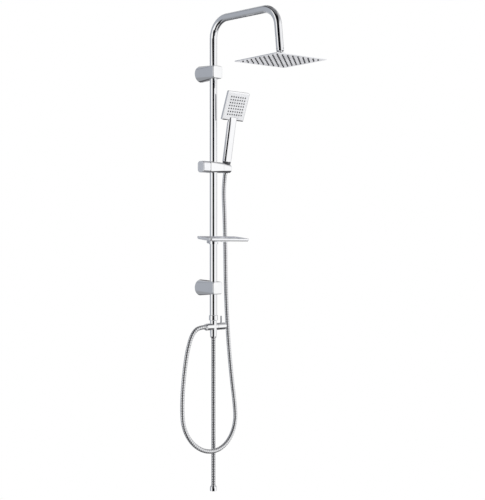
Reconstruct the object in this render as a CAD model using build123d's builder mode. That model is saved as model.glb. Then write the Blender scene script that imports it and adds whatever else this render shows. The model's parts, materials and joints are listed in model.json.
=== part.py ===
from build123d import *
import math
import os

# Exposed shower column for a wall: riser, gooseneck arm with a square rain head on a ball joint,
# two wall brackets, a slider with a tilting cradle and a handset, a soap dish, a diverter,
# a ribbed handset hose and a ribbed supply hose.
# Frame: origin at the centre of the upper bracket's wall face, +Z up, +Y into the wall,
# +X to the right of a person who faces the wall. Millimetres.

# Clearances
fit = 0.05            # radial gap of a turned piece in its hole
seat = 0.3            # gap of a loose conical or domed seat
swing = 0.4           # face gap between pieces that turn past each other

# Riser and arm
tube_d = 24.0
tube_wall = 1.5
standoff = 62.0       # wall face to riser axis
riser_tail = 95.0     # riser below the lower bracket's axis
arm_rise = 172.0      # arm axis above the origin
arm_bend = 62.0
arm_corner = 290.0    # riser axis to the corner above the head
drop_lean = 6.0       # lean of the drop towards the user, degrees
drop_length = 131.5   # corner to the end of the tube
nipple_length = 60.0
nipple_bore = 8.0
joint_seal_h = 2.4
joint_seal_t = 1.4
joint_seal_at = 20.0

# Wall brackets
bracket_pitch = 705.0
flange_d = 53.0
flange_flat = 0.2
block_side = 41.0
block_corner = 7.0
cap_depth = 5.6
cap_edge = 2.8
front_wall = 1.9      # bush to the back of the cap
plate_d = 45.0
plate_t = 4.0
boss_d = 16.0
boss_length = 14.0
wall_hole_d = 5.2
wall_hole_pitch = 30.0
screw_pocket_d = 11.0
screw_pocket_depth = 4.5
bush_wall = 2.0
bracket_bush_h = 40.0
grub_d = 4.0
grub_length = 12.0
grub_at = 12.0        # wall face to grub screw axis
peg_d = 4.0
peg_length = 5.0
peg_pitch = 30.0

# Ball joint and rain head
ball_d = 19.0
ball_drop = 21.0      # end of the arm to the centre of the ball
neck_d = 10.0
spud_bore = 6.4
spud_flange = 8.8     # ring under the end of the arm
spud_lip = 0.8
spud_groove = 2.0
spud_groove_depth = 2.2
spud_chamfer = 0.8
spud_length = 14.0
seat_t = 1.2
socket_wall = 1.2
collar_wall = 1.85
collar_top = 6.4
collar_chamfer = 0.7
lip_angle = 62.0
upper_seat_angles = (62.0, 79.0)
lower_seat_angles = (97.0, 138.0)
socket_depth = 11.0   # centre of the ball to the crown of the head
socket_flange = 2.0
socket_flange_d = 34.0
collar_skirt = 8.6
head_side = 203.0
head_turn = -5.5      # turn of the head on its ball, degrees
head_corner = 4.0
head_face_t = 1.2
head_rim_t = 1.2
head_slope = 26.5     # width of the sloping border of the shell
head_height = 6.5
head_skin = 1.4
head_margin = 3.5
mat_t = 1.0
mat_margin = 11.5
rain_rows = 9
rain_pitch = 20.5
rain_nozzle_d = 5.4
rain_nozzle_h = 2.4

# Slider and cradle
slider_drop = 310.5   # origin to the slider's axis
slider_left = 25.0
slider_depth = 34.0
slider_height = 37.0
slider_corner = 7.0
slider_end_depth = 36.0
slider_end_height = 33.0
slider_end_corner = 10.0
slider_bush_h = 34.0
knob_length = 30.5
knob_depth = 32.0
knob_corner = 10.0
knob_edge = 3.0
stud_d = 8.0
stud_in_knob = 19.0
cradle_reach = 25.0   # end of the slider to the cradle axis
cradle_lean = 10.5    # lean of the cradle towards the user, degrees
cradle_past = 13.0    # cradle axis to the end of the cradle
cradle_end_depth = 33.0
cradle_end_height = 28.0
cradle_end_corner = 12.0
cradle_end_drop = 1.5     # slider axis to the middle of the cradle's end
cradle_edge = 3.0
cradle_slot_gap = 0.75    # hose to each side of the slot it slips in by
spigot_d = 16.0
spigot_length = 9.0
pivot_screw_d = 4.4
pivot_head_d = 8.0
pivot_head_t = 2.4
pivot_room = 0.7      # bush to the head of the pivot screw
pivot_web = 4.0
pivot_washer_t = 0.8
pivot_reach = 8.0

# Handset
thread_d = 18.6       # half-inch pipe thread, drawn plain at its crest bore
cone_top_wall = 4.65
cone_bottom_wall = 1.05
cone_top = 22.0
cone_bottom = 16.0
ferrule_d = 15.0
ferrule_bottom = 20.0
ferrule_lip = 2.0
washer_t = 2.0
washer_bore = 10.0
handle_width = 32.0
handle_depth = 18.0
handle_corner = 8.0
handle_from = 23.0    # cradle axis origin to the foot of the handle
handle_knee = 168.0   # cradle axis origin to the top of the handle
knee_corner = 5.0
knee_blend = 20.0     # length of the handle's top that narrows to the back of the spray head
knee_skin = 0.5       # back of the spray head to the back of the handle's top
knee_overlap = 10.3   # lower edge of the spray head to the top of the handle
face_step = 2.0       # spray face to the front of the handle at its top
spray_lean = 20.0
spray_side = 96.0
spray_depth = 9.5
spray_corner = 3.0
spray_edge = 1.5
spray_rim = 4.5
spray_lip = 0.8       # flat of the rim inside its bevel
spray_bevel = 2.0
spray_face_t = 2.0
spray_rows = 7
spray_pitch = 9.6
spray_nozzle_d = 3.8
spray_nozzle_h = 1.3
handset_bore = 10.0

# Soap dish
dish_drop = 536.0     # origin to the back edge of the dish
dish_width = 172.0
dish_depth = 70.0
dish_height = 9.0
dish_wall = 2.4
dish_floor = 1.8
dish_corner = 8.0
dish_round = 4.5
dish_lean = 7.0
dish_gap = 1.3        # back edge of the dish to the riser
slot_count = 5
slot_pitch = 24.0
slot_length = 34.0
slot_width = 4.0
clamp_wall = 3.45
clamp_height = 16.0
clamp_gap = 1.0       # foot of the dish to the top of the clamp
web_drop = 2.0        # top of the clamp to its web under the dish
tongue_width = 26.0
web_width = 13.0
tongue_length = 44.0
tongue_t = 4.0
dish_screw_d = 3.0
dish_screw_pitch = 16.0
dish_screw_bite = 1.4
thumb_d = 4.0
thumb_head_d = 10.0
thumb_head_t = 7.0
thumb_boss = 5.0

# Diverter
diverter_below = 32.0  # foot of the riser to the diverter's cross axis
diverter_d = 22.6
diverter_leg = 21.5   # cross axis to the foot of the body
diverter_bore = 14.0
spigot_seal_t = 2.0
union_above = 5.5     # foot of the riser to the top of the union nut
union_below = 11.5
union_wall = 1.8
tube_collar_lip = 0.65
tube_collar_h = 2.8
union_chamfer = 1.0
outlet_end = 24.3
outlet_d = 22.0
stub_length = 8.0
foot_stub_length = 10.0
cartridge_face = 14.0
cartridge_d = 17.0
cartridge_in = 12.0
cartridge_out = 8.0
spindle_d = 8.2
spindle_from = 8.0
spindle_to = 36.0
lever_handle_end = 50.0
lever_cavity_gap = 0.8
lever_wall = 2.0
lever_hub_from = 27.0
lever_edge = 2.0
lever_pin_d = 5.5
lever_pin_at = 34.5
lever_pin_rise = 23.0
lever_pin_tip = 1.4

# Hoses and their nuts
hose_d = 14.0
hose_bore = 9.0
rib_depth = 0.9
hose_ribs = 46
supply_ribs = 16
# One rib: share of the pitch and depth below the crest in rib depths.
rib_outline = ((0.05, 1.0), (0.25, 1.0), (0.40, 0.0), (0.90, 0.0))
outlet_nut_length = 13.7
outlet_nut_step = 1.25    # hose surface to the edge of the nut's small end
nut_wall = 1.65
nut_floor = 3.5
nut_taper = 5.5
supply_nut_length = 15.5
supply_nut_step = 1.75
supply_nut_wall = 1.45
supply_length = 485.0
supply_end_length = 15.0
supply_end_step = 3.0
supply_end_wall = 2.15
washer_pocket_lip = 0.6

# Handset hose from the diverter's outlet nut to the ferrule under the cradle:
# X and Y from the riser axis (minus Y is towards the user), Z of the loop from the diverter's cross axis
# and Z of the upper leg from the slider's axis.
loop_points = [
    (-64.0, 0.0, 0.0),
    (-86.5, 0.0, -13.5),
    (-104.0, -1.0, -42.0),
    (-121.0, -3.0, -93.0),
    (-137.0, -6.0, -183.0),
    (-144.5, -10.0, -258.0),
    (-143.0, -15.0, -317.0),
    (-112.0, -22.0, -370.0),
    (-59.0, -27.0, -401.0),
    (3.0, -27.0, -401.0),
    (56.0, -22.0, -370.0),
    (87.0, -15.0, -317.0),
    (86.0, -10.0, -253.0),
    (76.5, -5.0, -168.0),
    (69.0, 0.0, -68.0),
    (62.5, 3.0, 42.0),
]
leg_points = [
    (59.5, 5.0, -369.5),
    (60.5, 8.0, -249.5),
    (59.5, 10.5, -144.5),
]
hose_end_run = 45.0   # straight run below the ferrule
arc_share = 0.45      # share of the shorter run that an arc's tangent takes

tube_r = tube_d / 2
bore_r = tube_r - tube_wall
thread_r = thread_d / 2
bush_r = tube_r + fit + bush_wall
riser_length = bracket_pitch + riser_tail
riser = Vector(0, -standoff, 0)
slider_z = -slider_drop
diverter_z = -riser_length - diverter_below


def along(origin, axis, radial):
    """Plane whose local y runs along axis and whose local x is radial: for turned outlines."""
    axis = Vector(*axis)
    radial = Vector(*radial)
    return Plane(origin=origin, x_dir=radial, z_dir=radial.cross(axis))


def across_x(x, z):
    """Plane square to X at the riser axis, with local x along Y and local y up."""
    return Plane(origin=(x, -standoff, z), x_dir=(0, 1, 0), z_dir=(1, 0, 0))


def turn(plane, *points, mode=Mode.ADD):
    """Turn a closed outline of (radius, height) points about the plane's local y axis."""
    with BuildSketch(plane) as outline:
        with BuildLine():
            Polyline(*points, close=True)
        make_face()
    revolve(outline.sketch, axis=Axis(plane.origin, plane.y_dir), mode=mode)


def tube(plane, outer, inner, low, high, mode=Mode.ADD):
    """Turn a plain ring or sleeve between two heights on the plane's local y axis."""
    turn(plane, (inner, low), (outer, low), (outer, high), (inner, high), mode=mode)


def drill(plane, diameter, depth):
    """Cut a round hole from the plane along its normal."""
    with BuildSketch(plane) as hole:
        Circle(diameter / 2)
    extrude(hole.sketch, amount=depth, mode=Mode.SUBTRACT)


def keep(builder, name):
    """Label a finished piece and write it."""
    builder.part.label = name
    export_step(builder.part, f"parts/{name}.step")


os.makedirs("parts", exist_ok=True)

upright = along(riser, (0, 0, 1), (1, 0, 0))

# Riser: a plain tube with a collar at its foot, which the union nut holds.
tube_collar_r = tube_r + tube_collar_lip
with BuildPart() as riser_tube:
    turn(
        upright,
        (bore_r, 0),
        (tube_r, 0),
        (tube_r, tube_collar_h - riser_length),
        (tube_collar_r, tube_collar_h - riser_length),
        (tube_collar_r, -riser_length),
        (bore_r, -riser_length),
    )
keep(riser_tube, "riser_tube")

# Gooseneck: up from the joint in the upper bracket, forward, and down with a slight lean.
drop_dir = Vector(0, -math.sin(math.radians(drop_lean)), -math.cos(math.radians(drop_lean)))
arm_knee = riser + Vector(0, 0, arm_rise)
arm_front = arm_knee + Vector(0, -arm_corner, 0)
arm_end = arm_front + drop_dir * drop_length
with BuildPart() as gooseneck_tube:
    with BuildLine() as arm_path:
        FilletPolyline(riser, arm_knee, arm_front, arm_end, radius=arm_bend)
    with BuildSketch(Plane(origin=riser, x_dir=(1, 0, 0), z_dir=(0, 0, 1))):
        Circle(tube_r)
        Circle(bore_r, mode=Mode.SUBTRACT)
    sweep(path=arm_path.line)
keep(gooseneck_tube, "gooseneck_tube")

# Nipple that joins the two tubes inside the upper bracket, with a seal ring in each half.
nipple_r = bore_r - fit
with BuildPart() as joint_nipple:
    tube(upright, nipple_r, nipple_bore, -nipple_length / 2, nipple_length / 2)
    for side in (-joint_seal_at, joint_seal_at):
        low = side - joint_seal_h / 2
        tube(upright, nipple_r, nipple_r - joint_seal_t, low, low + joint_seal_h, mode=Mode.SUBTRACT)
keep(joint_nipple, "joint_nipple")

with BuildPart() as joint_seals:
    for side in (-joint_seal_at, joint_seal_at):
        low = side - joint_seal_h / 2
        tube(upright, bore_r - fit, nipple_r - joint_seal_t, low, low + joint_seal_h)
keep(joint_seals, "joint_seals")

# Wall brackets: a plate on the wall, a tapered body over it, a bush for the riser and a front cap.
body_depth = standoff + bush_r + fit + front_wall
for place, height in (("upper", 0.0), ("lower", -bracket_pitch)):
    wall = Plane(origin=(0, 0, height), x_dir=(1, 0, 0), z_dir=(0, -1, 0))
    below = Plane(origin=(0, 0, height - flange_d), x_dir=(1, 0, 0), z_dir=(0, 0, 1))

    with BuildPart() as wall_plate:
        with BuildSketch(wall):
            Circle(plate_d / 2)
        extrude(amount=plate_t)
        with BuildSketch(wall.offset(plate_t)):
            Circle(boss_d / 2)
        extrude(amount=boss_length)
        with BuildSketch(wall):
            with GridLocations(wall_hole_pitch, 0, 2, 1):
                Circle(wall_hole_d / 2)
        extrude(amount=plate_t, mode=Mode.SUBTRACT)
    keep(wall_plate, f"{place}_wall_plate")

    with BuildPart() as bracket_body:
        with BuildSketch(wall):
            RectangleRounded(flange_d, flange_d, flange_d / 2 - flange_flat)
        with BuildSketch(wall.offset(body_depth)):
            RectangleRounded(block_side, block_side, block_corner)
        loft(ruled=True)
        drill(wall, plate_d + 2 * seat, plate_t)
        drill(wall, boss_d + 2 * fit, plate_t + boss_length)
        with BuildSketch(wall.offset(plate_t)):
            with GridLocations(wall_hole_pitch, 0, 2, 1):
                Circle(screw_pocket_d / 2)
        extrude(amount=screw_pocket_depth, mode=Mode.SUBTRACT)
        with BuildSketch(below):
            with Locations((0, -standoff)):
                Circle(bush_r + fit)
        extrude(amount=2 * flange_d, mode=Mode.SUBTRACT)
        with BuildSketch(below):
            with Locations((0, -grub_at)):
                Circle(grub_d / 2 + fit)
        extrude(amount=flange_d, mode=Mode.SUBTRACT)
        with BuildSketch(wall.offset(body_depth)):
            with GridLocations(peg_pitch, 0, 2, 1):
                Circle(peg_d / 2 + fit)
        extrude(amount=-peg_length, mode=Mode.SUBTRACT)
    keep(bracket_body, f"{place}_bracket_body")

    with BuildPart() as bracket_bush:
        half = bracket_bush_h / 2
        tube(upright, bush_r, tube_r + fit, height - half, height + half)
    keep(bracket_bush, f"{place}_bracket_bush")

    with BuildPart() as bracket_cap:
        with BuildSketch(wall.offset(body_depth)):
            RectangleRounded(block_side, block_side, block_corner)
        extrude(amount=cap_depth)
        front = bracket_cap.faces().sort_by(Axis.Y)[0]
        fillet(front.edges(), cap_edge)
        with BuildSketch(wall.offset(body_depth)):
            with GridLocations(peg_pitch, 0, 2, 1):
                Circle(peg_d / 2)
        extrude(amount=-peg_length)
    keep(bracket_cap, f"{place}_bracket_cap")

# One grub screw from below locks each bracket body on its plate's boss.
with BuildPart() as bracket_grub_screws:
    for height in (0.0, -bracket_pitch):
        tip = Plane.XY.offset(height - boss_d / 2)
        with BuildSketch(tip):
            with Locations((0, -grub_at)):
                Circle(grub_d / 2)
        extrude(amount=-grub_length)
keep(bracket_grub_screws, "bracket_grub_screws")

# Ball spud: plugs into the end of the arm and carries the ball.
ball_r = ball_d / 2
neck_r = neck_d / 2
ball = arm_end + drop_dir * ball_drop
drop_axis = along(ball, -drop_dir, (1, 0, 0))
ball_foot = math.sqrt(ball_r**2 - (spud_bore / 2) ** 2)
ball_neck = math.sqrt(ball_r**2 - neck_r**2)
flange_low = ball_drop - spud_flange
groove_r = tube_r - spud_groove_depth
with BuildPart() as ball_spud:
    with BuildSketch(drop_axis):
        with BuildLine():
            ThreePointArc((spud_bore / 2, -ball_foot), (ball_r, 0), (neck_r, ball_neck))
            Polyline(
                (neck_r, ball_neck),
                (neck_r, flange_low),
                (tube_r - spud_chamfer, flange_low),
                (tube_r, flange_low + spud_chamfer),
                (tube_r, ball_drop - spud_lip - spud_groove),
                (groove_r, ball_drop - spud_lip - spud_groove),
                (groove_r, ball_drop - spud_lip),
                (tube_r, ball_drop - spud_lip),
                (tube_r, ball_drop),
                (bore_r - fit, ball_drop),
                (bore_r - fit, ball_drop + spud_length),
                (spud_bore / 2, ball_drop + spud_length),
                (spud_bore / 2, -ball_foot),
            )
        make_face()
    revolve(axis=Axis(ball, -drop_dir))
keep(ball_spud, "ball_spud")


def polar(radius, angle):
    """Point at an angle from the upward pole of the ball, as (radius out, height)."""
    turned = math.radians(angle)
    return (radius * math.sin(turned), radius * math.cos(turned))


def seat_ring(plane, inner, outer, angles):
    """Turn a spherical zone between two radii and two angles from the pole."""
    start, end = angles
    middle = (start + end) / 2
    with BuildSketch(plane) as zone:
        with BuildLine():
            ThreePointArc(polar(outer, start), polar(outer, middle), polar(outer, end))
            Line(polar(outer, end), polar(inner, end))
            ThreePointArc(polar(inner, end), polar(inner, middle), polar(inner, start))
            Line(polar(inner, start), polar(outer, start))
        make_face()
    revolve(zone.sketch, axis=Axis(plane.origin, plane.y_dir))


# Two seat rings hold the ball inside the head's socket.
head_axis = along(ball, (0, 0, 1), (1, 0, 0))
seat_in = ball_r + fit
seat_out = seat_in + seat_t
socket_r = seat_out + fit
for name, angles in (("ball_seat_upper", upper_seat_angles), ("ball_seat_lower", lower_seat_angles)):
    with BuildPart() as ball_seat:
        seat_ring(head_axis, seat_in, seat_out, angles)
    keep(ball_seat, name)

# Socket cup on the crown of the head and the collar nut that screws over it.
cup_r = socket_r + socket_wall
cup_floor = socket_depth - socket_flange
water_r = math.sqrt(socket_r**2 - cup_floor**2)
cup_angle = 180 - math.degrees(math.asin(water_r / socket_r))
with BuildPart() as head_socket:
    with BuildSketch(head_axis):
        with BuildLine():
            ThreePointArc((socket_r, 0), polar(socket_r, (90 + cup_angle) / 2), (water_r, -cup_floor))
            Polyline(
                (water_r, -cup_floor),
                (water_r, -socket_depth),
                (socket_flange_d / 2, -socket_depth),
                (socket_flange_d / 2, -cup_floor),
                (cup_r, -cup_floor),
                (cup_r, 0),
                (socket_r, 0),
            )
        make_face()
    revolve(axis=Axis(ball, (0, 0, 1)))
keep(head_socket, "head_socket")

collar_in = cup_r + fit
collar_r = collar_in + collar_wall
with BuildPart() as head_collar:
    with BuildSketch(head_axis):
        with BuildLine():
            ThreePointArc((socket_r, 0), polar(socket_r, (90 + lip_angle) / 2), polar(socket_r, lip_angle))
            Polyline(
                polar(socket_r, lip_angle),
                (collar_top * math.tan(math.radians(lip_angle)), collar_top),
                (collar_r - collar_chamfer, collar_top),
                (collar_r, collar_top - collar_chamfer),
                (collar_r, -collar_skirt),
                (collar_in, -collar_skirt),
                (collar_in, 0),
                (socket_r, 0),
            )
        make_face()
    revolve(axis=Axis(ball, (0, 0, 1)))
keep(head_collar, "head_collar")

# Rain head: a flat face, a low pyramid shell over it, a silicone mat inside and rows of nozzles.
head_across = Vector(math.cos(math.radians(head_turn)), math.sin(math.radians(head_turn)), 0)
head_foot = ball - Vector(0, 0, socket_depth + head_height)
head_base = Plane(origin=head_foot, x_dir=head_across, z_dir=(0, 0, 1))
shell_foot = head_base.offset(head_face_t)
shell_rim = head_base.offset(head_face_t + head_rim_t)
shell_crown = head_base.offset(head_height)
with BuildPart() as rain_shell:
    with BuildSketch(shell_foot):
        RectangleRounded(head_side, head_side, head_corner)
    extrude(amount=head_rim_t)
    with BuildSketch(shell_rim) as rim:
        RectangleRounded(head_side, head_side, head_corner)
    crown_side = head_side - 2 * head_slope
    with BuildSketch(shell_crown) as crown:
        RectangleRounded(crown_side, crown_side, head_corner)
    loft([rim.sketch, crown.sketch], ruled=True)
    inner_side = head_side - 2 * head_margin
    inner_crown = crown_side - 2 * head_margin
    with BuildSketch(shell_foot) as chamber_foot:
        RectangleRounded(inner_side, inner_side, head_corner)
    with BuildSketch(shell_crown.offset(-head_skin)) as chamber_top:
        RectangleRounded(inner_crown, inner_crown, head_corner)
    loft([chamber_foot.sketch, chamber_top.sketch], ruled=True, mode=Mode.SUBTRACT)
    with BuildSketch(shell_crown) as inlet:
        Circle(water_r)
    extrude(inlet.sketch, amount=-head_height, mode=Mode.SUBTRACT)
keep(rain_shell, "rain_shell")

with BuildPart() as rain_face:
    with BuildSketch(head_base):
        RectangleRounded(head_side, head_side, head_corner)
    extrude(amount=head_face_t)
keep(rain_face, "rain_face")

mat_side = head_side - 2 * mat_margin
with BuildPart() as rain_mat:
    with BuildSketch(shell_foot):
        RectangleRounded(mat_side, mat_side, head_corner)
    extrude(amount=mat_t)
keep(rain_mat, "rain_mat")

with BuildPart() as rain_nozzles:
    with BuildSketch(head_base):
        with GridLocations(rain_pitch, rain_pitch, rain_rows, rain_rows):
            RegularPolygon(rain_nozzle_d / 2, 6)
    extrude(amount=-rain_nozzle_h)
keep(rain_nozzles, "rain_nozzles")

# Slider: a body across the riser, a bush, a clamping knob on a stud, and the pivot of the cradle.
web_face = bush_r + fit + pivot_room + pivot_head_t + pivot_washer_t
socket_floor = web_face + pivot_web
slider_right = socket_floor + spigot_length
with BuildPart() as slider_body:
    with BuildSketch(across_x(-slider_left, slider_z)):
        RectangleRounded(slider_depth, slider_height, slider_corner)
    with BuildSketch(across_x(slider_right, slider_z)):
        RectangleRounded(slider_end_depth, slider_end_height, slider_end_corner)
    loft(ruled=True)
    with BuildSketch(Plane.XY.offset(slider_z - slider_height)):
        with Locations((0, -standoff)):
            Circle(bush_r + fit)
    extrude(amount=2 * slider_height, mode=Mode.SUBTRACT)
    drill(across_x(-slider_left, slider_z), stud_d + 2 * fit, slider_left)
    drill(across_x(socket_floor, slider_z), spigot_d + 2 * fit, spigot_length)
    drill(across_x(0, slider_z), pivot_screw_d + 2 * fit, slider_right)
    drill(across_x(0, slider_z), pivot_head_d + 2 * seat, web_face)
keep(slider_body, "slider_body")

with BuildPart() as slider_bush:
    half = slider_bush_h / 2
    tube(upright, bush_r, tube_r + fit, slider_z - half, slider_z + half)
keep(slider_bush, "slider_bush")

knob_face = -slider_left - swing
with BuildPart() as slider_knob:
    with BuildSketch(across_x(knob_face, slider_z)):
        RectangleRounded(knob_depth, slider_height, knob_corner)
    extrude(amount=-knob_length)
    fillet(slider_knob.faces().sort_by(Axis.X)[0].edges(), knob_edge)
    drill(across_x(knob_face - stud_in_knob, slider_z), stud_d + 2 * fit, stud_in_knob)
keep(slider_knob, "slider_knob")

with BuildPart() as knob_stud:
    with BuildSketch(across_x(knob_face - stud_in_knob, slider_z)):
        Circle(stud_d / 2)
    extrude(amount=stud_in_knob - knob_face - bush_r - seat)
keep(knob_stud, "knob_stud")

# Cradle: carries on the slider's taper, with an open cone for the hose nut and a spigot in the slider's end.
cradle_x = slider_right + cradle_reach
cradle_at = Vector(cradle_x, -standoff, slider_z)
lean = math.radians(cradle_lean)
lean_up = Vector(0, -math.sin(lean), math.cos(lean))
cradle_axis = along(cradle_at, lean_up, (1, 0, 0))
cone_top_r = thread_r + fit + cone_top_wall
cone_bottom_r = ferrule_d / 2 + fit + cone_bottom_wall
cone_slope = (cone_top_r - cone_bottom_r) / (cone_top + cone_bottom)


def cone_radius(height):
    """Radius of the hose nut's outer cone at a height on the cradle axis."""
    return cone_bottom_r + cone_slope * (height + cone_bottom)


boss_face = slider_right + swing
cradle_end = cradle_x + cradle_past
cone_reach = (slider_end_height + slider_end_depth * math.sin(lean)) / 2
with BuildPart() as cradle:
    with BuildSketch(across_x(boss_face, slider_z)) as cradle_foot:
        RectangleRounded(slider_end_depth, slider_end_height, slider_end_corner)
    with BuildSketch(across_x(cradle_end, slider_z - cradle_end_drop)) as cradle_tip:
        RectangleRounded(cradle_end_depth, cradle_end_height, cradle_end_corner)
    loft([cradle_foot.sketch, cradle_tip.sketch], ruled=True)
    fillet(cradle.faces().sort_by(Axis.X)[-1].edges(), cradle_edge)
    with BuildSketch(across_x(boss_face, slider_z)) as spigot:
        Circle(spigot_d / 2)
    extrude(spigot.sketch, amount=-spigot_length)
    drill(across_x(boss_face - spigot_length, slider_z), pivot_screw_d + 2 * fit, spigot_length + pivot_reach)
    turn(
        cradle_axis,
        (0, -cone_reach),
        (cone_radius(-cone_reach) + seat, -cone_reach),
        (cone_radius(cone_reach) + seat, cone_reach),
        (0, cone_reach),
        mode=Mode.SUBTRACT,
    )
    slot_plane = Plane(origin=cradle_at - lean_up * cone_reach, x_dir=(1, 0, 0), z_dir=lean_up)
    with BuildSketch(slot_plane) as slot:
        with Locations((cradle_past, 0)):
            Rectangle(2 * cradle_past, hose_d + 2 * cradle_slot_gap)
    extrude(slot.sketch, amount=2 * cone_reach, mode=Mode.SUBTRACT)
keep(cradle, "cradle")

screw_tip = boss_face + pivot_reach
with BuildPart() as cradle_screw:
    with BuildSketch(across_x(web_face - pivot_washer_t, slider_z)):
        Circle(pivot_head_d / 2)
    extrude(amount=-pivot_head_t)
    with BuildSketch(across_x(web_face - pivot_washer_t, slider_z)):
        Circle(pivot_screw_d / 2)
    extrude(amount=screw_tip - web_face + pivot_washer_t)
keep(cradle_screw, "cradle_screw")

pivot = along((0, -standoff, slider_z), (1, 0, 0), (0, 0, 1))
with BuildPart() as cradle_washer:
    tube(pivot, pivot_head_d / 2, pivot_screw_d / 2 + fit, web_face - pivot_washer_t, web_face)
keep(cradle_washer, "cradle_washer")

# Cone nut of the hose, its ferrule, and the flat washer under the handset's thread.
with BuildPart() as hose_cone_nut:
    turn(
        cradle_axis,
        (ferrule_d / 2 + fit, -cone_bottom),
        (cone_bottom_r, -cone_bottom),
        (cone_top_r, cone_top),
        (thread_r + fit, cone_top),
        (thread_r + fit, -ferrule_lip),
        (ferrule_d / 2 + fit, -ferrule_lip),
    )
keep(hose_cone_nut, "hose_cone_nut")

with BuildPart() as hose_ferrule:
    turn(
        cradle_axis,
        (hose_bore / 2, -ferrule_bottom),
        (ferrule_d / 2, -ferrule_bottom),
        (ferrule_d / 2, -ferrule_lip),
        (thread_r, -ferrule_lip),
        (thread_r, 0),
        (hose_bore / 2, 0),
    )
keep(hose_ferrule, "hose_ferrule")

with BuildPart() as handset_washer:
    tube(cradle_axis, thread_r, washer_bore / 2, 0, washer_t)
keep(handset_washer, "handset_washer")

# Handset: a flat bar handle whose top stands over the lower edge of a thin square spray head.
spray = math.radians(spray_lean)
spray_up = Vector(0, -math.sin(spray), math.cos(spray))
spray_front = Vector(0, -math.cos(spray), -math.sin(spray))
handle_front = Vector(0, -math.cos(lean), -math.sin(lean))
knee = cradle_at + lean_up * handle_knee
face_foot = knee + handle_front * (handle_depth / 2 - face_step) - spray_up * knee_overlap
face_centre = face_foot + spray_up * (spray_side / 2)
face_plane = Plane(origin=face_centre, x_dir=(1, 0, 0), z_dir=spray_front)


def handle_section(height, forward=0.0):
    """Plane square to the handle at a height on the cradle axis, moved towards its front."""
    return Plane(origin=cradle_at + lean_up * height + handle_front * forward, x_dir=(1, 0, 0), z_dir=lean_up)


spray_face_side = spray_side - 2 * spray_rim
spray_rim_side = spray_face_side + 2 * spray_lip
knee_depth = face_step + spray_depth + knee_skin
with BuildPart() as handset_shell:
    with BuildSketch(face_plane.offset(-spray_bevel)) as spray_outline:
        RectangleRounded(spray_side, spray_side, spray_corner)
    extrude(spray_outline.sketch, amount=spray_bevel - spray_depth)
    back_face = handset_shell.faces().sort_by(Axis(face_centre, spray_front))[0]
    fillet(back_face.edges(), spray_edge)
    with BuildSketch(face_plane) as spray_front_edge:
        RectangleRounded(spray_rim_side, spray_rim_side, spray_corner)
    loft([spray_outline.sketch, spray_front_edge.sketch], ruled=True)
    with BuildSketch(face_plane) as recess:
        RectangleRounded(spray_face_side, spray_face_side, spray_corner)
    extrude(recess.sketch, amount=-spray_face_t, mode=Mode.SUBTRACT)
    with BuildSketch(handle_section(handle_from)) as handle_foot:
        RectangleRounded(handle_width, handle_depth, handle_corner)
    with BuildSketch(handle_section(handle_knee - knee_blend)) as handle_shoulder:
        RectangleRounded(handle_width, handle_depth, handle_corner)
    with BuildSketch(handle_section(handle_knee, (handle_depth - knee_depth) / 2)) as handle_top:
        RectangleRounded(handle_width, knee_depth, knee_corner)
    loft([handle_foot.sketch, handle_shoulder.sketch, handle_top.sketch], ruled=True)
    tube(cradle_axis, thread_r - fit, handset_bore / 2, washer_t, handle_from)
keep(handset_shell, "handset_shell")

notch = knee_overlap + seat
with BuildPart() as handset_face:
    with BuildSketch(face_plane):
        RectangleRounded(spray_face_side - 2 * fit, spray_face_side - 2 * fit, spray_corner)
        with Locations((0, (notch - spray_side) / 2)):
            Rectangle(handle_width + 2 * seat, notch, mode=Mode.SUBTRACT)
    extrude(amount=-spray_face_t)
keep(handset_face, "handset_face")

with BuildPart() as handset_nozzles:
    with BuildSketch(face_plane):
        with GridLocations(spray_pitch, spray_pitch, spray_rows, spray_rows):
            RegularPolygon(spray_nozzle_d / 2, 6)
    extrude(amount=spray_nozzle_h)
keep(handset_nozzles, "handset_nozzles")

# Soap dish: a shallow tray that leans forward on a clamp round the riser.
dish_back = standoff + tube_r + dish_gap
dish_tilt = math.radians(dish_lean)
dish_up = Vector(0, -math.sin(dish_tilt), math.cos(dish_tilt))
dish_top = Plane(origin=(0, -dish_back, -dish_drop), x_dir=(1, 0, 0), z_dir=dish_up)
tray_middle = (0, -dish_depth / 2)
with BuildPart() as soap_dish:
    with BuildSketch(dish_top):
        with Locations(tray_middle):
            RectangleRounded(dish_width, dish_depth, dish_corner)
    extrude(amount=-dish_height)
    under = soap_dish.faces().sort_by(Axis((0, 0, 0), dish_up))[0]
    fillet(under.edges(), dish_round)
    with BuildSketch(dish_top):
        with Locations(tray_middle):
            RectangleRounded(dish_width - 2 * dish_wall, dish_depth - 2 * dish_wall, dish_corner - dish_wall)
    extrude(amount=dish_floor - dish_height, mode=Mode.SUBTRACT)
    with BuildSketch(dish_top):
        with Locations(tray_middle):
            with GridLocations(slot_pitch, 0, slot_count, 1):
                SlotOverall(slot_length, slot_width, rotation=90)
    extrude(amount=-dish_height, mode=Mode.SUBTRACT)
    with BuildSketch(dish_top.offset(-dish_height)):
        with Locations((0, -tongue_length / 2)):
            with GridLocations(dish_screw_pitch, 0, 2, 1):
                Circle(dish_screw_d / 2 + fit)
    extrude(amount=dish_screw_bite, mode=Mode.SUBTRACT)
keep(soap_dish, "soap_dish")

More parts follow.
